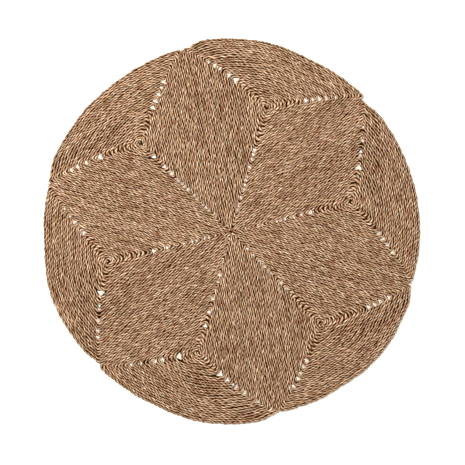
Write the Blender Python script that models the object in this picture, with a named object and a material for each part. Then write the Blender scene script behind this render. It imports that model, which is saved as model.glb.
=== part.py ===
# Round rug made of six coiled petals of two-ply twisted seagrass cord.
# The rug lies flat on z = 0, with the middle of its outline at the origin. Lengths are in metres,
# angles in degrees and counted anticlockwise from +X.

import math

import bmesh
import bpy
from mathutils import Vector

# Driving sizes
TURNS = 30                  # turns of cord between a petal's edge and its eye
CORD_PITCH = 0.0066         # spacing of neighbouring turns
CORD_HEIGHT = 0.0068        # top of a turn above the floor
GROOVE_HEIGHT = 0.0044      # bottom of the groove between two turns
SEAM_CLEARANCE = 0.0003     # gap between neighbouring petals

# The six petals, anticlockwise. A petal starts at its own seam and ends at the next petal's seam.
# The eye is where its turns end. The last five columns are the uneven rim's distance from the
# point where the seams meet, at the stations of RIM_STATIONS.
# Columns: name, seam angle, eye angle, eye distance, rim at each station
PETALS = (
    ("petal_1", -15.5, 14, 0.390, 0.595, 0.596, 0.597, 0.597, 0.596),
    ("petal_2", 45.5, 74, 0.410, 0.601, 0.600, 0.611, 0.613, 0.603),
    ("petal_3", 105.5, 135.5, 0.400, 0.600, 0.598, 0.602, 0.606, 0.605),
    ("petal_4", 165.5, 193.5, 0.399, 0.595, 0.592, 0.605, 0.599, 0.596),
    ("petal_5", 225.5, 254.5, 0.393, 0.597, 0.597, 0.607, 0.605, 0.598),
    ("petal_6", 285, 314.5, 0.404, 0.590, 0.599, 0.611, 0.606, 0.602),
)
RIM_STATIONS = (0.0, 0.3, 0.6, 0.85, 1.0)

# Where the floor shows between two folds of the cord. An opening is named for the turn outside it,
# counted from 0 at the petal's edge, and the widest ones are listed, a row for each petal.
# Columns: turns with a wide opening at the core, at the start of the rim, at the end of the rim
CORE, START_RIM, END_RIM = 0, 1, 2
WIDE_OPENINGS = (
    ((14, 16, 18), (10, 15), (19,)),
    ((14,), (11, 13), (11, 18)),
    ((18, 20, 23), (10, 14, 16), (10, 17)),
    ((10, 14, 17), (13, 17), (20,)),
    ((9, 15, 18, 21), (9, 22), (7, 12, 20)),
    ((15,), (8, 11, 15), (8, 11)),
)
# A loose fold leaves a narrow opening outside it, in the turns of NARROW_TURNS.
NARROW_TURNS = (range(4, 19), range(8, 19), range(8, 19))      # by corner
LOOSE_FROM = (-0.4, 0.1, 0.1)       # scatter from which a fold is loose, by corner
WIDE, NARROW = 0, 1
OPENING_SHARE = (1.0, 0.8)          # share of the space between the two folds that is clear
OPENING_WIDTH = (1.15, 1.5, 1.5)    # width of an opening for each unit of its length, by corner
LEAST_OPENING = 0.004               # shorter spaces between two folds stay filled
CUTTER_DEPTH = 0.02

# Length of a fold along each side of its corner, in pitches, for the core and the two rim corners
TIGHT_FOLD = (0.9, 0.8, 0.8)        # in the field of the petal
EDGE_FOLD = (0.9, 2.2, 1.5)         # in the outermost turn
EDGE_FOLD_TURNS = 7                 # turns over which the edge's rounding dies out
OPENING_FOLD = ((1.2, 2.4, 2.4), (0.1, 1.2, 1.2))   # more inside a wide and a narrow opening
FOLD_SPREAD = 0.3                   # how unevenly the folds are made
LEAST_FOLD = 0.4                    # the sharpest fold that the cord takes
EYE_ROUNDING = 1.75                 # fold length for each turn counted from the eye
EYE_REACH = 7.0                     # turns from the eye where the rounding is half gone

# The cord steps in by one pitch before it meets its own start, near the end of the rim
STEP_AT_EDGE = 0.10                 # share of the rim that the step takes in the outermost turn
RIM_SPANS = 8                       # straight spans along a petal's rim
ANGLE_ROUNDS = 6                    # rounds that settle where a side meets the rim

SEAGRASS_COLOUR = (0.35, 0.21, 0.12, 1.0)
SEAGRASS_ROUGHNESS = 0.75
WELD_DISTANCE = 0.00002


def clear_scene():
    for item in list(bpy.data.objects):
        bpy.data.objects.remove(item, do_unlink=True)


def new_collection(name):
    collection = bpy.data.collections.new(name)
    bpy.context.scene.collection.children.link(collection)
    return collection


def seagrass_material(name):
    material = bpy.data.materials.new(name)
    material.use_nodes = True
    shader = material.node_tree.nodes["Principled BSDF"]
    shader.inputs["Base Color"].default_value = SEAGRASS_COLOUR
    shader.inputs["Roughness"].default_value = SEAGRASS_ROUGHNESS
    shader.inputs["Metallic"].default_value = 0.0
    return material


def ease(share):
    share = min(max(share, 0.0), 1.0)
    return share * share * (3.0 - 2.0 * share)


def scatter(petal_number, corner, turn):
    # An even spread from -1 to 1 that looks random and never changes
    wave = math.sin(12.9898 * (petal_number + 1) + 78.233 * (corner + 1) + 37.719 * turn) * 43758.5453
    return 2.0 * (wave % 1.0) - 1.0


def direction(angle):
    return Vector((math.cos(angle), math.sin(angle)))


class Petal:
    """One 60 degree slice: two straight sides, an uneven rim and the eye that its turns close on."""

    def __init__(self, number):
        name, seam, eye_angle, eye_distance = PETALS[number][:4]
        following_seam = PETALS[(number + 1) % len(PETALS)][1]
        if following_seam < seam:
            following_seam += 360.0
        self.number = number
        self.name = name
        self.start = math.radians(seam)
        self.end = math.radians(following_seam)
        self.rim_radii = PETALS[number][4:]
        eye = math.radians(eye_angle)
        self.inset = SEAM_CLEARANCE / 2
        self.start_depth = eye_distance * math.sin(eye - self.start)
        self.end_depth = eye_distance * math.sin(self.end - eye)
        self.rim_depth = self.rim_radius(eye) - eye_distance
        self.openings = [self.openings_at(corner) for corner in (CORE, START_RIM, END_RIM)]

    def openings_at(self, corner):
        # Turns with a wide and with a narrow opening inside them
        wide = WIDE_OPENINGS[self.number][corner]
        narrow = []
        for turn in NARROW_TURNS[corner]:
            loose = scatter(self.number, corner, turn + 1) > LOOSE_FROM[corner]
            if loose and not any(abs(turn - other) < 2 for other in wide):
                narrow.append(turn)
        return wide, narrow

    def rim_radius(self, angle):
        share = (angle - self.start) / (self.end - self.start)
        for i in range(len(RIM_STATIONS) - 1):
            if share < RIM_STATIONS[i + 1]:
                blend = ease((share - RIM_STATIONS[i]) / (RIM_STATIONS[i + 1] - RIM_STATIONS[i]))
                return self.rim_radii[i] + blend * (self.rim_radii[i + 1] - self.rim_radii[i])
        return self.rim_radii[-1]

    def side_inset(self, level, depth):
        return self.inset + level / TURNS * (depth - self.inset)

    def turn_radius(self, level, angle):
        return self.rim_radius(angle) - level / TURNS * self.rim_depth

    def rim_angle(self, level, corner):
        # Where the turn's straight side runs into its rim
        angle = self.start if corner == START_RIM else self.end
        for _ in range(ANGLE_ROUNDS):
            radius = self.turn_radius(level, angle)
            if corner == START_RIM:
                inset = self.side_inset(level, self.start_depth)
                angle = self.start + math.asin(min(1.0, inset / radius))
            else:
                inset = self.side_inset(level, self.end_depth)
                angle = self.end - math.asin(min(1.0, inset / radius))
        return angle

    def sharp_corner(self, level, corner):
        if corner != CORE:
            angle = self.rim_angle(level, corner)
            return self.turn_radius(level, angle) * direction(angle)
        start_inset = self.side_inset(level, self.start_depth)
        end_inset = self.side_inset(level, self.end_depth)
        spread = math.sin(self.end - self.start)
        return (start_inset * direction(self.end) + end_inset * direction(self.start)) / spread

    def fold_length(self, level, corner, uneven=False):
        edge = max(0.0, 1.0 - level / EDGE_FOLD_TURNS)
        fold = TIGHT_FOLD[corner] + edge * (EDGE_FOLD[corner] - TIGHT_FOLD[corner])
        if uneven:
            turn = int(level)
            fold += FOLD_SPREAD * scatter(self.number, corner, turn)
            for size in (WIDE, NARROW):
                if turn - 1 in self.openings[corner][size]:
                    fold += OPENING_FOLD[size][corner]
        from_eye = TURNS - level
        fold += EYE_ROUNDING * from_eye * math.exp(-(from_eye / EYE_REACH) ** 2)
        return max(LEAST_FOLD, fold) * CORD_PITCH

    def folds(self, level, uneven=False):
        # The three fold lengths, none longer than half of the sides that it joins
        start_side = self.sharp_corner(level, START_RIM) - self.sharp_corner(level, CORE)
        end_side = self.sharp_corner(level, END_RIM) - self.sharp_corner(level, CORE)
        rim_side = self.sharp_corner(level, END_RIM) - self.sharp_corner(level, START_RIM)
        core = min(start_side.length, end_side.length) / 2
        start_rim = min(start_side.length, rim_side.length) / 2
        end_rim = min(end_side.length, rim_side.length) / 2
        limits = (core, start_rim, end_rim)
        return [min(self.fold_length(level, corner, uneven), limits[corner]) for corner in range(3)]

    def corner_point(self, level, corner, share, uneven=False):
        # A point of the fold: 0 where the cord enters the corner, 1 where it leaves it
        fold = self.folds(level, uneven)[corner]
        tip = self.sharp_corner(level, corner)
        if corner == CORE:
            before = tip + fold * direction(self.end)
            after = tip + fold * direction(self.start)
        elif corner == START_RIM:
            before = tip - fold * direction(self.start)
            angle = self.rim_angle(level, corner)
            angle += fold / self.turn_radius(level, angle)
            after = self.turn_radius(level, angle) * direction(angle)
        else:
            angle = self.rim_angle(level, corner)
            angle -= fold / self.turn_radius(level, angle)
            before = self.turn_radius(level, angle) * direction(angle)
            after = tip - fold * direction(self.end)
        rest = 1.0 - share
        return rest * rest * before + 2.0 * rest * share * tip + share * share * after

    def rim_point(self, level, share):
        # A point of the turn's rim, which steps in by one level towards its end
        step = STEP_AT_EDGE + (1.0 - STEP_AT_EDGE) * ease(level / TURNS)
        inner = min(TURNS, level + 1.0)
        here = min(TURNS, level + ease((share - 1.0 + step) / step))
        first = self.rim_angle(level, START_RIM)
        first += self.folds(level)[START_RIM] / self.turn_radius(level, first)
        last = self.rim_angle(inner, END_RIM)
        last -= self.folds(inner)[END_RIM] / self.turn_radius(inner, last)
        angle = first + share * (last - first)
        return self.turn_radius(here, angle) * direction(angle)

    def turn_points(self, level):
        # One turn from the end-rim corner round to just before the same corner
        level = min(level, TURNS)
        points = [self.corner_point(level, END_RIM, 0.5), self.corner_point(level, END_RIM, 1.0)]
        core_in = self.corner_point(level, CORE, 0.0)
        points += [(points[-1] + core_in) / 2, core_in]
        points += [self.corner_point(level, CORE, 0.5), self.corner_point(level, CORE, 1.0)]
        rim_in = self.corner_point(level, START_RIM, 0.0)
        points += [(points[-1] + rim_in) / 2, rim_in, self.corner_point(level, START_RIM, 0.5)]
        points += [self.rim_point(level, i / RIM_SPANS) for i in range(RIM_SPANS + 1)]
        return points

    def opening_outlines(self):
        # The clear triangles between a fold and the next one inwards
        found = []
        for corner, sizes in enumerate(self.openings):
            for size in (WIDE, NARROW):
                for turn in sizes[size]:
                    outer = self.corner_point(turn + 0.5, corner, 0.5, uneven=True)
                    inner = self.corner_point(turn + 1.5, corner, 0.5, uneven=True)
                    length = ((outer - inner).length - CORD_PITCH) * OPENING_SHARE[size]
                    if length < LEAST_OPENING:
                        continue
                    along = (outer - inner).normalized()
                    across = Vector((-along.y, along.x)) * length * OPENING_WIDTH[corner] / 2
                    base = inner + along * CORD_PITCH / 2
                    found.append((base + along * length, base + across, base - across))
        return found


def petal_mesh(petal):
    # A ribbon one turn wide is laid along the whole coil and welded to its neighbouring turns
    rows = [petal.turn_points(half_turn / 2) for half_turn in range(2 * TURNS + 3)]
    columns = len(rows[0])
    mesh = bmesh.new()
    bmesh.ops.create_grid(mesh, x_segments=2, y_segments=TURNS * columns, size=0.5)
    mesh.verts.ensure_lookup_table()
    for vert in mesh.verts:
        side = round((vert.co.x + 0.5) * 2)
        station = round((vert.co.y + 0.5) * TURNS * columns)
        turn, column = divmod(station, columns)
        point = rows[2 * turn + side][column]
        vert.co = (point.x, point.y, CORD_HEIGHT if side == 1 else GROOVE_HEIGHT)
    bmesh.ops.remove_doubles(mesh, verts=mesh.verts, dist=WELD_DISTANCE)
    bmesh.ops.dissolve_degenerate(mesh, edges=mesh.edges, dist=WELD_DISTANCE)
    rim_edges = [edge for edge in mesh.edges if edge.is_boundary]
    wall = bmesh.ops.extrude_edge_only(mesh, edges=rim_edges)["geom"]
    foot = [item for item in wall if isinstance(item, bmesh.types.BMVert)]
    for vert in foot:
        vert.co.z = 0.0
    foot_edges = [item for item in wall if isinstance(item, bmesh.types.BMEdge) and item.is_boundary]
    bmesh.ops.edgeloop_fill(mesh, edges=foot_edges)
    bmesh.ops.recalc_face_normals(mesh, faces=mesh.faces)
    data = bpy.data.meshes.new(petal.name)
    mesh.to_mesh(data)
    mesh.free()
    return data


def opening_cutter(petal, collection):
    mesh = bmesh.new()
    for corners in petal.opening_outlines():
        ring = bmesh.ops.create_circle(mesh, cap_ends=True, segments=3, radius=CORD_PITCH)["verts"]
        for vert, corner in zip(ring, corners):
            vert.co = (corner.x, corner.y, -CUTTER_DEPTH / 2)
        prism = bmesh.ops.extrude_face_region(mesh, geom=list(ring[0].link_faces))["geom"]
        for item in prism:
            if isinstance(item, bmesh.types.BMVert):
                item.co.z = CUTTER_DEPTH
    bmesh.ops.recalc_face_normals(mesh, faces=mesh.faces)
    data = bpy.data.meshes.new(petal.name + "_openings")
    mesh.to_mesh(data)
    mesh.free()
    cutter = bpy.data.objects.new(petal.name + "_openings", data)
    cutter.hide_render = True
    cutter.display_type = "WIRE"
    collection.objects.link(cutter)
    return cutter


def outline_centre(petals):
    # Middle of the box round all six outlines, which stands at the origin
    outline = [point for petal in petals for point in petal.turn_points(0)]
    middle_x = (max(p.x for p in outline) + min(p.x for p in outline)) / 2
    middle_y = (max(p.y for p in outline) + min(p.y for p in outline)) / 2
    return Vector((middle_x, middle_y, 0.0))


def add_petal(petal, rug_centre, collection, cutters):
    solid = bpy.data.objects.new(petal.name, petal_mesh(petal))
    solid.data.materials.append(seagrass_material("seagrass_" + petal.name))
    collection.objects.link(solid)
    solid.parent = rug_centre
    cut = solid.modifiers.new("openings", "BOOLEAN")
    cut.operation = "DIFFERENCE"
    cut.solver = "EXACT"
    cut.object = opening_cutter(petal, cutters)
    cut.object.parent = rug_centre


def main():
    clear_scene()
    rug = new_collection("round_rug")
    cutters = new_collection("cutters")
    petals = [Petal(number) for number in range(len(PETALS))]
    rug_centre = bpy.data.objects.new("rug_centre", None)
    rug_centre.location = -outline_centre(petals)
    rug.objects.link(rug_centre)
    for petal in petals:
        add_petal(petal, rug_centre, rug, cutters)


main()
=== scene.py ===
import cmath
import math

import bmesh
import bpy
import numpy as np
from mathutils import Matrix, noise


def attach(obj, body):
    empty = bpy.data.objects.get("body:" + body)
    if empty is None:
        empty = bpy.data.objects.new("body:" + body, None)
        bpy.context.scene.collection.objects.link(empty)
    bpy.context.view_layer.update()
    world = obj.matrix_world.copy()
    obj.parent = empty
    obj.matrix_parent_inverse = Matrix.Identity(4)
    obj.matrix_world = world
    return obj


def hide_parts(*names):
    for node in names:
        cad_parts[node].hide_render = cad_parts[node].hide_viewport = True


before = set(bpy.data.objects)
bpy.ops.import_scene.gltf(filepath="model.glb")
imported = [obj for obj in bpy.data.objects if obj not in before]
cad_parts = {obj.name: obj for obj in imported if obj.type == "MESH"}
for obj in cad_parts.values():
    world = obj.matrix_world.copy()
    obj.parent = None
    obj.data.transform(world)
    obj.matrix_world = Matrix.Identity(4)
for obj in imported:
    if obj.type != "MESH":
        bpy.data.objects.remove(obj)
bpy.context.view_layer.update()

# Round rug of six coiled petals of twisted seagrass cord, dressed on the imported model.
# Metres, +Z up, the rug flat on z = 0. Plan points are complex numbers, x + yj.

mm = 0.001
core, startRim, endRim = 0, 1, 2      # the three corners of a petal's turn

rug = {                               # the same sizes as the part's source
    "turns": 30,
    "pitch": 6.6 * mm,
    "height": 6.8 * mm,
    "clearance": 0.3 * mm,
    # Seam angle, eye angle, eye distance, then the rim's distance at each station
    "petals": (
        (-15.5, 14, 0.390, 0.595, 0.596, 0.597, 0.597, 0.596),
        (45.5, 74, 0.410, 0.601, 0.600, 0.611, 0.613, 0.603),
        (105.5, 135.5, 0.400, 0.600, 0.598, 0.602, 0.606, 0.605),
        (165.5, 193.5, 0.399, 0.595, 0.592, 0.605, 0.599, 0.596),
        (225.5, 254.5, 0.393, 0.597, 0.597, 0.607, 0.605, 0.598),
        (285, 314.5, 0.404, 0.590, 0.599, 0.611, 0.606, 0.602),
    ),
    "rimStations": (0.0, 0.3, 0.6, 0.85, 1.0),
    # Turns with a wide opening inside them: at the core, the rim's start and the rim's end
    "wideOpenings": (
        ((14, 16, 18), (10, 15), (19,)),
        ((14,), (11, 13), (11, 18)),
        ((18, 20, 23), (10, 14, 16), (10, 17)),
        ((10, 14, 17), (13, 17), (20,)),
        ((9, 15, 18, 21), (9, 22), (7, 12, 20)),
        ((15,), (8, 11, 15), (8, 11)),
    ),
    # Turns that may have a narrow opening inside them, where the next fold inwards is loose
    "narrowTurns": (range(4, 19), range(8, 19), range(8, 19)),
    "looseFrom": (-0.4, 0.1, 0.1),    # a fold is loose from this scatter on
    "leastOpening": 4 * mm,
    "openingShare": (1.0, 0.8),       # clear share of a wide and of a narrow opening
    "openingWidth": (1.15, 1.5, 1.5),    # for each unit of its length, one for each corner
    "tightFold": (0.9, 0.8, 0.8),     # fold lengths are in pitches, one for each corner
    "edgeFold": (0.9, 2.2, 1.5),      # of the outermost turn, gentler
    "edgeFoldTurns": 7,
    # What a wide and a narrow opening add to the fold inside them
    "openingFold": ((1.2, 2.4, 2.4), (0.1, 1.2, 1.2)),
    "foldSpread": 0.3,
    "leastFold": 0.4,
    "eyeRounding": 1.75,              # the turns grow round towards the eye
    "eyeReach": 7.0,                  # turns
    "stepAtEdge": 0.10,               # share of the rim over which the outermost turn steps in
}


# Plan of a petal, as in the part's source

def ease(share):
    share = min(max(share, 0.0), 1.0)
    return share * share * (3.0 - 2.0 * share)


def scatter(petal, corner, turn):     # an even spread from -1 to 1, the part's own
    wave = math.sin(12.9898 * (petal + 1) + 78.233 * (corner + 1) + 37.719 * turn) * 43758.5453
    return 2.0 * (wave % 1.0) - 1.0


def direction(angle):
    return cmath.rect(1.0, angle)


def makePetal(number):
    seam, eyeAngle, eyeDistance = rug["petals"][number][:3]
    nextSeam = rug["petals"][(number + 1) % len(rug["petals"])][0]
    if nextSeam < seam:
        nextSeam += 360.0
    petal = {
        "number": number,
        "start": math.radians(seam),
        "end": math.radians(nextSeam),
        "rim": rug["petals"][number][3:],
        "inset": rug["clearance"] / 2,
    }
    eye = math.radians(eyeAngle)
    petal["eye"] = eyeDistance * direction(eye)
    petal["startDepth"] = eyeDistance * math.sin(eye - petal["start"])
    petal["endDepth"] = eyeDistance * math.sin(petal["end"] - eye)
    petal["rimDepth"] = rimRadius(petal, eye) - eyeDistance
    petal["openings"] = [openingsAt(number, corner) for corner in (core, startRim, endRim)]
    return petal


def rimRadius(petal, angle):
    stations, radii = rug["rimStations"], petal["rim"]
    share = (angle - petal["start"]) / (petal["end"] - petal["start"])
    for i in range(len(stations) - 1):
        if share < stations[i + 1]:
            blend = ease((share - stations[i]) / (stations[i + 1] - stations[i]))
            return radii[i] + blend * (radii[i + 1] - radii[i])
    return radii[-1]


def turnRadius(petal, level, angle):  # level 0 is the rim, and the eye is at the last turn
    return rimRadius(petal, angle) - level / rug["turns"] * petal["rimDepth"]


def sideInset(petal, level, depth):   # a turn's distance from the petal's straight side
    return petal["inset"] + level / rug["turns"] * (depth - petal["inset"])


def rimAngle(petal, level, corner):
    # Where a turn's straight side meets its rim
    angle = petal["start"] if corner == startRim else petal["end"]
    for _ in range(6):                # each round comes closer
        radius = turnRadius(petal, level, angle)
        if corner == startRim:
            inset = sideInset(petal, level, petal["startDepth"])
            angle = petal["start"] + math.asin(min(1.0, inset / radius))
        else:
            inset = sideInset(petal, level, petal["endDepth"])
            angle = petal["end"] - math.asin(min(1.0, inset / radius))
    return angle


def openingsAt(number, corner):
    # The turns with a wide and with a narrow opening inside them
    wide = rug["wideOpenings"][number][corner]
    narrow = []
    for turn in rug["narrowTurns"][corner]:
        loose = scatter(number, corner, turn + 1) > rug["looseFrom"][corner]
        if loose and not any(abs(turn - other) < 2 for other in wide):
            narrow.append(turn)
    return wide, narrow


def foldLength(petal, level, corner, uneven):
    # How far from its corner a turn starts to bend
    tight, edge = rug["tightFold"][corner], max(0.0, 1.0 - level / rug["edgeFoldTurns"])
    fold = tight + edge * (rug["edgeFold"][corner] - tight)
    if uneven:
        turn = int(level)
        fold += rug["foldSpread"] * scatter(petal["number"], corner, turn)
        for size in (0, 1):
            if turn - 1 in petal["openings"][corner][size]:
                fold += rug["openingFold"][size][corner]
    fromEye = rug["turns"] - level
    fold += rug["eyeRounding"] * fromEye * math.exp(-(fromEye / rug["eyeReach"]) ** 2)
    return max(rug["leastFold"], fold) * rug["pitch"]


def layTurn(petal, level, uneven=True):
    # Corner tips, fold lengths and rim angles of the turn at one level
    angles = {corner: rimAngle(petal, level, corner) for corner in (startRim, endRim)}
    startInset = sideInset(petal, level, petal["startDepth"])
    endInset = sideInset(petal, level, petal["endDepth"])
    spread = math.sin(petal["end"] - petal["start"])
    tips = [(startInset * direction(petal["end"]) + endInset * direction(petal["start"])) / spread]
    for corner in (startRim, endRim):
        tips.append(turnRadius(petal, level, angles[corner]) * direction(angles[corner]))
    startSide, endSide = abs(tips[1] - tips[0]), abs(tips[2] - tips[0])
    rimSide = abs(tips[2] - tips[1])
    limits = (min(startSide, endSide) / 2, min(startSide, rimSide) / 2, min(endSide, rimSide) / 2)
    folds = [min(foldLength(petal, level, corner, uneven), limits[corner]) for corner in range(3)]
    return {"level": level, "angles": angles, "tips": tips, "folds": folds}


def foldPoint(petal, turn, corner, share):
    # A point on the rounded corner of a turn, share 0 to 1 along it
    fold, tip = turn["folds"][corner], turn["tips"][corner]
    if corner == core:
        before = tip + fold * direction(petal["end"])
        after = tip + fold * direction(petal["start"])
    else:
        angle = turn["angles"][corner]
        radius = turnRadius(petal, turn["level"], angle)
        angle += fold / radius if corner == startRim else -fold / radius
        onRim = turnRadius(petal, turn["level"], angle) * direction(angle)
        if corner == startRim:
            before, after = tip - fold * direction(petal["start"]), onRim
        else:
            before, after = onRim, tip - fold * direction(petal["end"])
    rest = 1.0 - share
    return rest * rest * before + 2.0 * rest * share * tip + share * share * after


def rimPoint(petal, turn, inner, share):
    # The rim steps in by one level before it meets the turn's own start
    level = turn["level"]
    step = rug["stepAtEdge"] + (1.0 - rug["stepAtEdge"]) * ease(level / rug["turns"])
    here = level + (inner["level"] - level) * ease((share - 1.0 + step) / step)
    first = turn["angles"][startRim]
    first += turn["folds"][startRim] / turnRadius(petal, level, first)
    last = inner["angles"][endRim]
    last -= inner["folds"][endRim] / turnRadius(petal, inner["level"], last)
    angle = first + share * (last - first)
    return turnRadius(petal, here, angle) * direction(angle)


def shares(count):
    return [i / count for i in range(count + 1)]


def rimOf(petal, level, spans, foldSpans=4):
    # A petal's share of the rug's outline, at one level
    turn, inner = layTurn(petal, level, False), layTurn(petal, level + 1.0, False)
    points = [foldPoint(petal, turn, startRim, share) for share in shares(foldSpans)]
    points += [rimPoint(petal, turn, inner, share) for share in shares(spans)[1:]]
    return points + [foldPoint(petal, inner, endRim, share) for share in shares(foldSpans)[1:]]


def holesOf(petal):
    # The clear triangles between a fold and the next one inwards, reaching a little under the cord:
    # tip, left and right
    found, pitch = [], rug["pitch"]
    margin = sewing["margin"] * pitch
    for corner, sizes in enumerate(petal["openings"]):
        for turn in (*sizes[0], *sizes[1]):
            outer = foldPoint(petal, layTurn(petal, turn + 0.5), corner, 0.5)
            inner = foldPoint(petal, layTurn(petal, turn + 1.5), corner, 0.5)
            clear = abs(outer - inner) - pitch
            if clear * rug["openingShare"][turn in sizes[1]] < rug["leastOpening"]:
                continue
            length = clear + 2 * margin
            along = (outer - inner) / abs(outer - inner)
            across = along * 1j * length * rug["openingWidth"][corner] / 2
            base = inner + along * (pitch / 2 - margin)
            found.append((base + along * length, base + across, base - across))
    return found


petals = [makePetal(number) for number in range(len(rug["petals"]))]
outline = [point for petal in petals for point in rimOf(petal, 0.0, 8)]
middle = complex(
    (max(p.real for p in outline) + min(p.real for p in outline)) / 2,
    (max(p.imag for p in outline) + min(p.imag for p in outline)) / 2,
)
print("plan: seams meet at", round(-middle.real, 5), round(-middle.imag, 5))


# Finishes

def hexColour(code):                  # sRGB hex to linear
    channels = [int(code[i:i + 2], 16) / 255 for i in (1, 3, 5)]
    linear = [c / 12.92 if c <= 0.04045 else ((c + 0.055) / 1.055) ** 2.4 for c in channels]
    return (*linear, 1.0)


def newMaterial(name):
    material = bpy.data.materials.new(name)
    material.use_nodes = True
    return material, material.node_tree.nodes["Principled BSDF"]


def addNode(material, kind, values=(), links=(), **settings):
    # values: socket and number or colour; links: socket and the output that feeds it
    node = material.node_tree.nodes.new(kind)
    for name, value in settings.items():
        setattr(node, name, value)
    for socket, value in values:
        node.inputs[socket].default_value = value
    for socket, output in links:
        material.node_tree.links.new(output, node.inputs[socket])
    return node


def addRamp(material, factor, stops):
    node = addNode(material, "ShaderNodeValToRGB", links=((0, factor),))
    elements = node.color_ramp.elements
    while len(elements) < len(stops):
        elements.new(0.5)
    for element, (position, colour) in zip(elements, stops):
        element.position = position
        element.color = hexColour(colour)
    return node.outputs["Color"]


def mixColours(material, factor, first, second, blend="MIX"):
    node = addNode(material, "ShaderNodeMix", data_type="RGBA", blend_type=blend)
    for socket, value in (("Factor_Float", factor), ("A_Color", first), ("B_Color", second)):
        target = next(item for item in node.inputs if item.identifier == socket)
        if isinstance(value, bpy.types.NodeSocket):
            material.node_tree.links.new(value, target)
        else:
            target.default_value = value
    return next(item for item in node.outputs if item.identifier == "Result_Color")


seagrass = {
    # Colours along a ramp, from a noise's dark side to its light side
    "blade": ((0.0, "#84542e"), (0.35, "#b38357"), (0.6, "#d1a57b"), (1.0, "#f3d9bd")),
    "bladeFrom": 0.30,                # where that noise starts, and how far it runs
    "bladeSpan": 0.40,
    "single": ((0.35, "#7f6446"), (0.62, "#ffffff")),
    "singleShare": 0.4,
    "hue": ((0.25, "#c48359"), (0.5, "#ffffff"), (0.75, "#c6bd84")),
    "hueShare": 0.7,
    "vein": ((0.35, "#8a7252"), (0.6, "#ffffff")),
    "veinShare": 0.3,
    "pale": "#f0dfc0",                # now and then a blade dried nearly white
    "paleLength": 60 * mm,
    "paleRange": (0.755, 0.795),
    # painted shade, dark brown, low on the cords' sides and in the crease between the plies
    "shade": "#401d00",
    "shadeShare": (0.35, 0.9, 1.0, 0.9),    # at a ply's tip, its shoulder, the crease, a shoulder
    "shadeHeights": (2.0, 0.75),      # slope and start over the rug's height
    "creaseShade": 0.6,
    "mostShade": 0.95,
    "paintedHighlight": "#fff0da",                # painted highlight where the blades stand proud, on the cords' tops
    "paintedHighlightShare": 0.36,
    "paintedHighlightHeights": (4.0, 3.0),        # slope and start again
    "paintedEdgeShade": "#44392f",               # painted shade, greyish, on the outer side of the rug's own edge
    "paintedEdgeShadeShare": 0.7,
    "paintedEdgeShadeRise": 2.0,                 # whole from half way out of the cord
    "bladeLength": 15 * mm,           # one blade's colour before the next takes over
    "singleLength": 30 * mm,
    "singleWidth": 2.2 * mm,
    "patchSize": 30 * mm,
    "veinLength": 33 * mm,
    "veinWidth": 0.55 * mm,
    "girth": 19 * mm,                 # round the cord
    "plyOffset": 3.7,                 # sets the second ply's colours apart from the first's
    "roughness": 0.62,
    "specular": 0.1,
    "bump": 0.25 * mm,
    "bumpStrength": 0.5,
}


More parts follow.
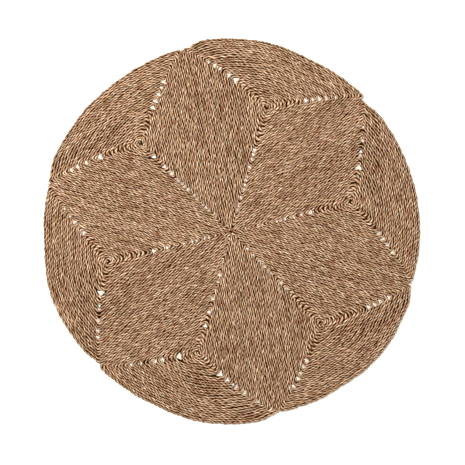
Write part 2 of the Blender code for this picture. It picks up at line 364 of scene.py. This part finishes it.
def seagrassCord():
    # Dried seagrass, hand twisted: matt blades, straw to red-brown and khaki, with painted shade in
    # the grooves, a painted highlight on the tops and painted grey shade at the rug's outer edge
    material, shader = newMaterial("twisted dried seagrass")
    uv = addNode(material, "ShaderNodeUVMap", uv_map="cord").outputs["UV"]
    ply = addNode(material, "ShaderNodeAttribute", attribute_name="ply").outputs["Fac"]
    split = addNode(material, "ShaderNodeSeparateXYZ", links=((0, uv),))
    along, around = split.outputs["X"], split.outputs["Y"]
    offset = addNode(material, "ShaderNodeMath", values=((1, seagrass["plyOffset"]),),
                     links=((0, ply),), operation="MULTIPLY").outputs[0]
    onPly = addNode(material, "ShaderNodeCombineXYZ", links=((0, along), (1, offset))).outputs[0]
    onBlade = addNode(material, "ShaderNodeCombineXYZ", links=((0, along), (1, around))).outputs[0]

    def streaks(length, width, detail, vector=onBlade):
        scale = (1 / length, seagrass["girth"] / width, 1.0)
        stretched = addNode(material, "ShaderNodeMapping", values=((3, scale),),
                            links=((0, vector),)).outputs[0]
        return addNode(material, "ShaderNodeTexNoise", values=(("Scale", 1.0), ("Detail", detail)),
                       links=(("Vector", stretched),)).outputs["Fac"]

    blade = streaks(seagrass["bladeLength"], seagrass["girth"], 3.0, onPly)
    stops = [(seagrass["bladeFrom"] + seagrass["bladeSpan"] * at, colour)
             for at, colour in seagrass["blade"]]
    tone = addRamp(material, blade, stops)
    single = streaks(seagrass["singleLength"], seagrass["singleWidth"], 1.0)
    toned = mixColours(material, seagrass["singleShare"], tone,
                       addRamp(material, single, seagrass["single"]), "MULTIPLY")
    place = addNode(material, "ShaderNodeTexCoord").outputs["Object"]
    patch = addNode(material, "ShaderNodeTexNoise",
                    values=(("Scale", 1 / seagrass["patchSize"]), ("Detail", 1.5)),
                    links=(("Vector", place),)).outputs["Fac"]
    tinted = mixColours(material, seagrass["hueShare"], toned,
                        addRamp(material, patch, seagrass["hue"]), "MULTIPLY")
    vein = streaks(seagrass["veinLength"], seagrass["veinWidth"], 2.0)
    veined = mixColours(material, seagrass["veinShare"], tinted,
                        addRamp(material, vein, seagrass["vein"]), "MULTIPLY")
    groove = addNode(material, "ShaderNodeAttribute", attribute_name="groove").outputs["Fac"]
    paintedHighlight = addNode(material, "ShaderNodeAttribute", attribute_name="paintedHighlight").outputs["Fac"]
    # painted highlight on the tops of the plies
    lit = mixColours(material, paintedHighlight, veined, hexColour(seagrass["paintedHighlight"]))
    rare = streaks(seagrass["paleLength"], seagrass["girth"], 0.0, onPly)
    rare = addRamp(material, rare, list(zip(seagrass["paleRange"], ("#000000", "#ffffff"))))
    paler = mixColours(material, rare, lit, hexColour(seagrass["pale"]))
    # painted shade in the grooves between the cords and in the crease between the plies
    shaded = mixColours(material, groove, paler, hexColour(seagrass["shade"]))
    edge = addNode(material, "ShaderNodeAttribute", attribute_name="edge").outputs["Fac"]
    # painted shade, greyish, on the outer side of the rug's edge
    paintedEdgeShade = mixColours(material, edge, shaded, hexColour(seagrass["paintedEdgeShade"]))
    material.node_tree.links.new(paintedEdgeShade, shader.inputs["Base Color"])
    shader.inputs["Roughness"].default_value = seagrass["roughness"]
    shader.inputs["Specular IOR Level"].default_value = seagrass["specular"]
    bump = addNode(material, "ShaderNodeBump", links=(("Height", vein),),
                   values=(("Strength", seagrass["bumpStrength"]), ("Distance", seagrass["bump"])))
    material.node_tree.links.new(bump.outputs["Normal"], shader.inputs["Normal"])
    return material


def shadeAndFibre():
    # Sewing thread and crushed fibre deep between the turns: dull, dark brown, speckled, and
    # painted near-black as the shade there too
    material, shader = newMaterial("sewing thread, loose fibre and painted shade")
    place = addNode(material, "ShaderNodeTexCoord").outputs["Object"]
    speckle = addNode(material, "ShaderNodeTexNoise",
                      values=(("Scale", 1 / sewing["speckle"]), ("Detail", 3.0)),
                      links=(("Vector", place),)).outputs["Fac"]
    # near-black brown: painted shade deep between the turns, over the sewing's own colour
    colour = addRamp(material, speckle, sewing["colours"])
    material.node_tree.links.new(colour, shader.inputs["Base Color"])
    shader.inputs["Roughness"].default_value = sewing["roughness"]
    shader.inputs["Specular IOR Level"].default_value = 0.0
    return material


# From curves to pieces

def newCurve(name, dimensions):
    data = bpy.data.curves.new(name, "CURVE")
    data.dimensions = dimensions
    return data


def addLine(data, places, closed=False):
    # places: rows of x, y, z and 1
    spline = data.splines.new("POLY")
    spline.points.add(len(places) - 1)
    spline.points.foreach_set("co", np.array(places, dtype=float).ravel())
    spline.use_cyclic_u = closed
    return spline


def meshOf(data):
    # The finished mesh of a curve
    line = bpy.data.objects.new(data.name, data)
    bpy.context.scene.collection.objects.link(line)
    view = bpy.context.evaluated_depsgraph_get()
    mesh = bpy.data.meshes.new_from_object(line.evaluated_get(view))
    bpy.data.objects.remove(line)
    return mesh


def newPiece(name, mesh, finish):
    mesh.materials.clear()
    mesh.materials.append(finish)
    piece = bpy.data.objects.new(name, mesh)
    bpy.context.scene.collection.objects.link(piece)
    return piece


# The cord of one petal

cord = {
    "lay": 31 * mm,                   # length of one full twist of the two plies
    "layWander": 0.15,                # the hand-made twist is tighter in places
    "layWave": 0.2,                   # metres
    "step": 3.0 * mm,                 # from one row of points to the next
    "foldStep": 1.7 * mm,             # closer in a fold
    "foldPoints": 14,
    "rimPoints": 40,
    "tip": 3.25 * mm,                 # a ply's outermost point, from the cord's axis
    "shoulder": 2.65 * mm,
    "shoulderAngle": 50.0,            # degrees round from a ply's tip
    "crease": 0.8 * mm,               # the groove between the two plies
    "thickWander": 0.14,
    "thickWave": 15 * mm,
    "heightWander": 0.2 * mm,
    "heightWave": 0.35,               # metres
    "planWander": 1.3 * mm,           # neighbouring turns wander together
    "planWave": 60 * mm,
    "planLevels": (3.5, 17.5),        # where the noise is read, sideways and up the plan
    "ownWander": 1.0 * mm,            # and each a little on its own
    "ownWave": 13 * mm,
    "seeds": {"height": 10.0, "thick": 20.0, "lay": 30.0, "own": 40.0},    # one more for each petal
    "fill": 0.62,                     # how far a flattened fold fills the space beside it
    "fillSpread": 0.3,
    "fillAtOpening": (-0.15, -0.45),  # beside a wide and a narrow opening, drawn in
    "fillAtEye": 0.95,
    "fillReach": 1.4,                 # how far out from the eye that holds, in eye reaches
    "mostReach": 2.4,                 # widest that a flattened cord lies, for its own width
    "reachAtCentre": 2.2,             # the outermost turn's, where the petals meet
    "centreSpread": 0.4,
    "outerFold": 0.45,                # the outermost folds are sharper
    "cutEnd": 0.75,                   # the cut end fills the notch, so many pitches from its corner
    "endTaper": 12 * mm,
    "endThickness": 0.7,
    "bakeRows": 38,
    "bakeEdge": 0.03,
    "bakeCap": 0.4,                   # size of a cut end's map, for its row
}


def besideFold(petal, turns, number, corner, share):
    # How far the cord spreads to its inner and its outer neighbour in a fold, 1 for its own width
    here = foldPoint(petal, turns[number], corner, share)
    little = 0.02
    ahead = foldPoint(petal, turns[number], corner, min(share + little, 1.0))
    ahead -= foldPoint(petal, turns[number], corner, max(share - little, 0.0))
    sides = []
    for neighbour, opening in ((number + 1, number), (number - 1, number - 1)):
        if neighbour < 0:
            reach = 1.0
            if corner == core:
                reach = cord["reachAtCentre"]
                reach += cord["centreSpread"] * scatter(petal["number"], corner, 0)
            sides.append(1.0 + (reach - 1.0) * math.sin(math.pi * share))
            continue
        space = foldPoint(petal, turns[neighbour], corner, share) - here
        space = abs((space * (1j * ahead).conjugate()).real) / abs(ahead) / rug["pitch"]
        fill = cord["fill"] + cord["fillSpread"] * scatter(petal["number"], corner + 3, opening)
        fromEye = rug["turns"] - number
        nearEye = math.exp(-(fromEye / rug["eyeReach"] / cord["fillReach"]) ** 2)
        fill += nearEye * (cord["fillAtEye"] - fill)
        for size in (0, 1):
            if opening in petal["openings"][corner][size]:
                fill = cord["fillAtOpening"][size]
        sides.append(min(1.0 + fill * (space - 1.0), cord["mostReach"]))
    return sides


def cordRoute(petal):
    # Rows along the whole cord, from its cut end to the eye: plan point, step wanted there,
    # and how far the cord spreads to its inner and its outer side
    last = rug["turns"] - 1
    turns = [layTurn(petal, number + 0.5) for number in range(last)]
    turns.append(layTurn(petal, rug["turns"]))
    for number, corner in ((0, core), (0, startRim), (1, endRim)):
        turns[number]["folds"][corner] *= cord["outerFold"]
    onRim = petal["rimDepth"] / rug["turns"] / rug["pitch"]
    cutEnd = turns[0]["tips"][endRim] - cord["cutEnd"] * rug["pitch"] * direction(petal["end"])
    rows = [(cutEnd, cord["foldStep"], 1.0, 1.0)]
    for number in range(last):
        for corner in (endRim, core, startRim):
            for share in shares(cord["foldPoints"]):
                if number == 0 and corner == endRim and share < 1.0:
                    continue          # the cut end lies in the notch between two petals
                step = cord["step"] if share == 0.0 else cord["foldStep"]
                inside, outside = besideFold(petal, turns, number, corner, share)
                rows.append((foldPoint(petal, turns[number], corner, share), step, inside, outside))
        for share in shares(cord["rimPoints"])[1:-1]:
            place = rimPoint(petal, turns[number], turns[number + 1], share)
            rows.append((place, cord["step"], onRim, onRim))
    rows.append((petal["eye"], cord["foldStep"], 1.0, 1.0))
    points, steps, inside, outside = (np.array(column) for column in zip(*rows))
    return points - middle, steps, (inside, outside)


def evenly(points, steps, others):
    # The same route with a point at every step, and the distance run at each
    lengths = np.abs(np.diff(points))
    counts = np.concatenate(([0.0], np.cumsum(lengths / steps[1:])))
    run = np.concatenate(([0.0], np.cumsum(lengths)))
    stations = np.linspace(0.0, counts[-1], round(counts[-1]) + 1)
    columns = (points.real, points.imag, run, *others)
    even = [np.interp(stations, counts, column) for column in columns]
    return even[0] + 1j * even[1], even[2], even[3:]


def wander(run, length, seed):
    # Smooth uneven values from about -1 to 1 along the cord, the same each time
    return np.array([2.0 * noise.noise((s / length, seed, 0.5)) for s in run])


def cordProfile():
    # The cut across two plies that are twisted together
    tip, shoulder, crease = cord["tip"], cord["shoulder"], cord["crease"]
    angle = cord["shoulderAngle"]
    rows = ((0, tip), (angle, shoulder), (90, crease), (180 - angle, shoulder),
            (180, tip), (180 + angle, shoulder), (270, crease), (360 - angle, shoulder))
    places = [radius * direction(math.radians(turned)) for turned, radius in rows]
    data = newCurve("cordProfile", "2D")
    addLine(data, [(place.real, place.imag, 0.0, 1.0) for place in places], True)
    profile = bpy.data.objects.new("cordProfile", data)
    bpy.context.scene.collection.objects.link(profile)
    return profile, len(rows)


def handLaid(petal):
    # The route with a hand's unevenness: its points, the way to the coil's inner side at each,
    # the distance run, and the spread to the inner and the outer side
    points, run, (inside, outside) = evenly(*cordRoute(petal))
    for i, point in enumerate(points):
        place = point / cord["planWave"]
        drift = [noise.noise((place.real, place.imag, level)) for level in cord["planLevels"]]
        points[i] += cord["planWander"] * complex(*drift)
    ahead = np.gradient(points)
    across = 1j * ahead / np.abs(ahead)
    seed = cord["seeds"]["own"] + petal["number"]
    points += across * cord["ownWander"] * wander(run, cord["ownWave"], seed)
    return points, across, run, inside, outside


def cordMesh(petal, profile, sides):
    number, seeds = petal["number"], cord["seeds"]
    points, across, run, inside, outside = handLaid(petal)
    rise = wander(run, cord["heightWave"], seeds["height"] + number)
    height = rug["height"] / 2 + cord["heightWander"] * rise
    thick = 1.0 + cord["thickWander"] * wander(run, cord["thickWave"], seeds["thick"] + number)
    thick *= np.interp(run, (0.0, cord["endTaper"]), (cord["endThickness"], 1.0))
    early = wander(run, cord["layWave"], seeds["lay"] + number)
    twist = 2 * math.pi / cord["lay"] * (run + cord["layWave"] * cord["layWander"] * early)
    data = newCurve("cordLine", "3D")
    data.twist_mode = "Z_UP"
    data.bevel_mode = "OBJECT"
    data.bevel_object = profile
    data.use_fill_caps = False
    places = np.column_stack((points.real, points.imag, height, np.ones(len(points))))
    spline = addLine(data, places)
    spline.points.foreach_set("tilt", twist)
    spline.points.foreach_set("radius", thick)
    mesh = meshOf(data)
    spreadCord(mesh, points, across, inside, outside, sides)
    bm = bmesh.new()
    bm.from_mesh(mesh)
    bmesh.ops.holes_fill(bm, edges=[edge for edge in bm.edges if edge.is_boundary], sides=0)
    bmesh.ops.recalc_face_normals(bm, faces=bm.faces)
    bm.to_mesh(mesh)
    bm.free()
    markCord(mesh, sides, points, outwardsAtEdge(petal, points, across))
    mapCord(mesh, run, sides)
    return mesh, run[-1]


def spreadCord(mesh, points, across, inside, outside, sides):
    # Widens the cord towards its neighbours and keeps it between the floor and the rug's top
    places = np.empty(len(mesh.vertices) * 3)
    mesh.vertices.foreach_get("co", places)
    places = places.reshape(len(points), sides, 3)
    offset = places[:, :, 0] + 1j * places[:, :, 1] - points[:, None]
    sideways = (offset * np.conj(across[:, None])).real
    offset *= np.where(sideways > 0, inside[:, None], outside[:, None])
    places[:, :, 0] = points.real[:, None] + offset.real
    places[:, :, 1] = points.imag[:, None] + offset.imag
    places[:, :, 2] = np.clip(places[:, :, 2], 0.0, rug["height"])
    mesh.vertices.foreach_set("co", places.ravel())


def outwardsAtEdge(petal, points, across):
    # Which way is outwards at each row where the cord makes the rug's own edge, else 0
    outwards = np.zeros(len(points), dtype=complex)
    for i, point in enumerate(points):
        turned = (cmath.phase(point + middle) - petal["start"]) % (2 * math.pi)
        if abs(point + middle) > rimRadius(petal, petal["start"] + turned) - rug["pitch"]:
            outwards[i] = -across[i] / cord["tip"]
    return outwards


def markCord(mesh, sides, points, outwards):
    # How much painted shade the cord takes at each point, its painted highlight on the tops and its
    # painted shade at the rug's edge, for its finish
    count = len(mesh.vertices)
    places = np.empty(count * 3)
    mesh.vertices.foreach_get("co", places)
    places = places.reshape(count, 3)
    heights = places[:, 2]
    ring, side = np.divmod(np.arange(count), sides)
    onPly = side % (sides // 2)
    # painted shade low on the cord's sides, and in the crease between its plies
    slope, start = seagrass["shadeHeights"]
    low = 1.0 - np.clip(heights / rug["height"] * slope - start, 0.0, 1.0)
    crease = (onPly == sides // 4).astype(float)
    shadeShare = np.array(seagrass["shadeShare"])[onPly]
    groove = shadeShare * low + seagrass["creaseShade"] * crease
    groove = np.clip(groove, 0.0, seagrass["mostShade"])
    # painted highlight on the cord's tops
    slope, start = seagrass["paintedHighlightHeights"]
    paintedHighlight = seagrass["paintedHighlightShare"] * np.clip(heights / rug["height"] * slope - start, 0.0, 1.0)
    # painted shade on the outer side of the rug's edge
    away = (places[:, 0] + 1j * places[:, 1] - points[ring]) * np.conj(outwards[ring])
    edge = seagrass["paintedEdgeShadeShare"] * np.clip(seagrass["paintedEdgeShadeRise"] * away.real, 0.0, 1.0)
    for name, values in (("groove", groove), ("paintedHighlight", paintedHighlight), ("edge", edge)):
        layer = mesh.attributes.new(name, "FLOAT", "POINT")
        layer.data.foreach_set("value", values)


def mapCord(mesh, run, sides):
    # Which ply each face is on, and the map along and round the cord. The two cut ends come last.
    ring, side = np.divmod(np.arange(len(mesh.vertices)), sides)
    quarter = sides // 4
    corners = np.empty(len(mesh.loops), dtype=int)
    mesh.loops.foreach_get("vertex_index", corners)
    quads = (len(mesh.loops) - 2 * sides) // 4
    loopRing, loopSide = ring[corners], side[corners].astype(float)
    quadSides = loopSide[:quads * 4].reshape(quads, 4)
    wraps = (quadSides.max(axis=1) - quadSides.min(axis=1)) > sides / 2
    quadSides[wraps] = np.where(quadSides[wraps] == 0, sides, quadSides[wraps])
    loopSide[:quads * 4] = quadSides.ravel()
    faceSide = quadSides.min(axis=1)
    ply = np.concatenate(((faceSide >= quarter) & (faceSide < 3 * quarter), (0, 0)))
    layer = mesh.attributes.new("ply", "FLOAT", "FACE")
    layer.data.foreach_set("value", ply.astype(float))
    pattern = mesh.uv_layers.new(name="cord")
    pattern.data.foreach_set("uv", np.column_stack((run[loopRing], loopSide / sides)).ravel())
    mapForBake(mesh, run, loopRing, loopSide, sides)
    edges = np.empty(len(mesh.edges) * 2, dtype=int)
    mesh.edges.foreach_get("vertices", edges)
    edgeSides = side[edges].reshape(-1, 2)
    sharp = (edgeSides[:, 0] == edgeSides[:, 1]) & (edgeSides[:, 0] % (sides // 2) == quarter)
    mesh.shade_smooth()
    layer = mesh.attributes.get("sharp_edge")
    layer = layer or mesh.attributes.new("sharp_edge", "BOOLEAN", "EDGE")
    layer.data.foreach_set("value", sharp)


def mapForBake(mesh, run, loopRing, loopSide, sides):
    # A map without overlaps, to bake textures on: the cord in even rows, its ends in the last
    rows, edge, cap = cord["bakeRows"], cord["bakeEdge"], cord["bakeCap"]
    rowLength = run[-1] / rows
    ends = 2 * sides
    first = loopRing[:-ends].reshape(-1, 4).min(axis=1)
    row = np.minimum(run[first] // rowLength, rows - 1).repeat(4)
    place = np.empty((len(loopRing), 2))
    place[:-ends, 0] = (run[loopRing[:-ends]] - row * rowLength) / (rowLength + 2 * cord["step"])
    place[:-ends, 1] = (row + edge + (1 - 2 * edge) * loopSide[:-ends] / sides) / (rows + 1)
    turned = 2 * math.pi * loopSide[-ends:] / sides
    place[-ends:, 0] = (np.repeat((1.0, 3.0), sides) + cap * np.cos(turned)) / (rows + 1)
    place[-ends:, 1] = (rows + 0.5 + cap * np.sin(turned)) / (rows + 1)
    baked = mesh.uv_layers.new(name="OFBake")
    baked.data.foreach_set("uv", place.ravel())
    mesh.uv_layers["cord"].active_render = True


cordFinish = seagrassCord()
profile, profileSides = cordProfile()
for petal in petals:
    number = petal["number"] + 1
    mesh, length = cordMesh(petal, profile, profileSides)
    piece = newPiece(f"petalCord{number}", mesh, cordFinish)
    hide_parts(f"petal_{number}")
    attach(piece, "root")
    print("petal", number, "cord", round(length, 2), "m,", len(mesh.polygons), "faces")
bpy.data.objects.remove(profile)


# The sewing between the turns, a dark sheet that is also painted shade between them

sewing = {                            # thread and loose fibre between the turns, at mid height, dark as the painted shade there
    "low": 1.2 * mm,
    "high": 2.2 * mm,
    "margin": 0.3,                    # its holes reach this far under the cord, in pitches
    "rimLevel": 0.4,                  # how far inside the rug's edge it ends, in turns
    "rimPoints": 30,
    "speckle": 2.5 * mm,
    # near-black brown, the painted shade deep between the turns
    "colours": ((0.35, "#140800"), (0.65, "#2c1500")),
    "roughness": 0.9,
}


def sewingMesh():
    # A flat web with holes at the openings, its area on one side and the number of its holes
    data = newCurve("sewingLine", "2D")
    data.fill_mode = "BOTH"
    data.extrude = (sewing["high"] - sewing["low"]) / 2
    level, spans = sewing["rimLevel"], sewing["rimPoints"]
    rings = [[point for petal in petals for point in rimOf(petal, level, spans)]]
    for petal in petals:
        rings += holesOf(petal)
    for ring in rings:
        places = [place - middle for place in ring]
        addLine(data, [(place.real, place.imag, 0.0, 1.0) for place in places], True)
    mesh = meshOf(data)
    bm = bmesh.new()
    bm.from_mesh(mesh)
    bmesh.ops.translate(bm, verts=bm.verts, vec=(0.0, 0.0, (sewing["high"] + sewing["low"]) / 2))
    bmesh.ops.remove_doubles(bm, verts=bm.verts, dist=0.01 * mm)
    bmesh.ops.recalc_face_normals(bm, faces=bm.faces)
    area = sum(face.calc_area() for face in bm.faces if face.normal.z > 0.5)
    bm.to_mesh(mesh)
    bm.free()
    return mesh, area, len(rings) - 1


mesh, area, holes = sewingMesh()
# a dark sheet at mid height: sewing and loose fibre, and painted shade that fills the gaps between
# the turns
web = newPiece("sewing", mesh, shadeAndFibre())
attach(web, "root")
print("sewing", round(area, 3), "m2,", holes, "holes,", len(mesh.polygons), "faces")


# Blades that have worked loose and lie across the openings, two of them across the longer ones

loose = {
    "leastOpening": (9.5 * mm, 13 * mm),    # shortest hole that has one and two of them
    "at": (0.38, 0.68),               # share of its length where each one crosses
    "atSpread": 0.12,
    "thickness": 1.1 * mm,
    "height": 4.2 * mm,
    "sag": 0.6 * mm,
    "under": 2.2 * mm,                # how far each end reaches into the cords
    "slant": 0.25,                    # shares of the opening's length
    "bow": 0.15,
    "spans": 6,
    "toneLength": 9 * mm,
    "colours": ((0.35, "#7c5232"), (0.5, "#bb9068"), (0.65, "#e2c9a4")),
}


def looseBlade():
    # Single dried seagrass blade: matt, straw to brown along its length
    material, shader = newMaterial("loose dried seagrass blade")
    place = addNode(material, "ShaderNodeTexCoord").outputs["Object"]
    tone = addNode(material, "ShaderNodeTexNoise",
                   values=(("Scale", 1 / loose["toneLength"]), ("Detail", 2.0)),
                   links=(("Vector", place),)).outputs["Fac"]
    colour = addRamp(material, tone, loose["colours"])
    material.node_tree.links.new(colour, shader.inputs["Base Color"])
    shader.inputs["Roughness"].default_value = seagrass["roughness"]
    shader.inputs["Specular IOR Level"].default_value = seagrass["specular"]
    return material


def bladeRoutes(petal):
    # Points along each loose blade of a petal, from one cord to the other
    routes = []
    for opening, (tip, left, right) in enumerate(holesOf(petal)):
        base = (left + right) / 2
        along, across = tip - base, (left - right) / 2
        for strand, (least, usual) in enumerate(zip(loose["leastOpening"], loose["at"])):
            if abs(along) < least:
                continue
            chance = [scatter(petal["number"], opening, 3 * strand + i) for i in range(3)]
            at = usual + loose["atSpread"] * chance[0]
            half = across * (1.0 - at + loose["under"] / abs(across))
            half += along * loose["slant"] * chance[1]
            bend = along * loose["bow"] * chance[2]
            places = []
            for share in shares(loose["spans"]):
                side = 2.0 * share - 1.0
                place = base + along * at + half * side + bend * (1.0 - side * side) - middle
                height = loose["height"] - loose["sag"] * (1.0 - side * side)
                places.append((place.real, place.imag, height, 1.0))
            routes.append(places)
    return routes


def bladesMesh(routes):
    data = newCurve("bladeLine", "3D")
    data.bevel_depth = loose["thickness"] / 2
    data.bevel_resolution = 1         # six sides round
    data.use_fill_caps = True
    for places in routes:
        addLine(data, places)
    mesh = meshOf(data)
    mesh.shade_smooth()
    return mesh


mesh = bladesMesh([route for petal in petals for route in bladeRoutes(petal)])
blades = newPiece("looseBlades", mesh, looseBlade())
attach(blades, "root")
print("loose blades", len(mesh.polygons), "faces")


# Floor, light and camera

studio = {
    "floorSize": 14.0,
    "floorColour": "#efe6d9",         # lit far past white, so only its shaded spots look cream
    "floorRoughness": 0.9,
    "scale": 3.1562 * mm,             # what one pixel of the photograph covers
    "frameWidth": 465,
    "meetAt": (231.0, 232.0),         # pixel where the seams meet
    "cameraHeight": 6.0,
    "cameraSees": 50.0,
    "sensor": 36.0,
    "daylight": 0.7,
    "lamps": (                        # name, size, power and place
        ("key", 1.2, 300.0, (-2.0, 2.2, 3.2)),
        ("fill", 2.5, 60.0, (2.4, -1.6, 3.0)),
    ),
}


def buildStudio():
    bm = bmesh.new()
    bmesh.ops.create_grid(bm, x_segments=1, y_segments=1, size=studio["floorSize"] / 2)
    mesh = bpy.data.meshes.new("floor")
    bm.to_mesh(mesh)
    bm.free()
    material, shader = newMaterial("white paper floor")
    shader.inputs["Base Color"].default_value = hexColour(studio["floorColour"])
    shader.inputs["Roughness"].default_value = studio["floorRoughness"]
    floor = newPiece("floor", mesh, material)
    half = studio["frameWidth"] / 2
    right = (half - studio["meetAt"][0]) * studio["scale"] - middle.real
    up = (studio["meetAt"][1] - half) * studio["scale"] - middle.imag
    data = bpy.data.cameras.new("camera")
    data.sensor_width = studio["sensor"]
    data.lens = studio["sensor"] * studio["cameraHeight"] / (studio["frameWidth"] * studio["scale"])
    data.clip_end = studio["cameraSees"]
    camera = bpy.data.objects.new("camera", data)
    camera.location = (right, up, studio["cameraHeight"])
    bpy.context.scene.collection.objects.link(camera)
    bpy.context.scene.camera = camera
    return floor


def addLamp(name, size, power, place):    # it faces the rug's middle
    data = bpy.data.lights.new(name, "AREA")
    data.size = size
    data.energy = power
    lamp = bpy.data.objects.new(name, data)
    lamp.location = place
    toward = -lamp.location
    lamp.rotation_euler = toward.to_track_quat("-Z", "Y").to_euler()
    bpy.context.scene.collection.objects.link(lamp)


def lightStudio():
    world = bpy.data.worlds.new("softbox room")
    world.use_nodes = True
    back = world.node_tree.nodes["Background"]
    back.inputs["Color"].default_value = (1.0, 1.0, 1.0, 1.0)
    back.inputs["Strength"].default_value = studio["daylight"]
    bpy.context.scene.world = world
    for lamp in studio["lamps"]:
        addLamp(*lamp)
    bpy.context.scene.view_settings.view_transform = "Standard"


floor = buildStudio()
lightStudio()
print("studio ready")
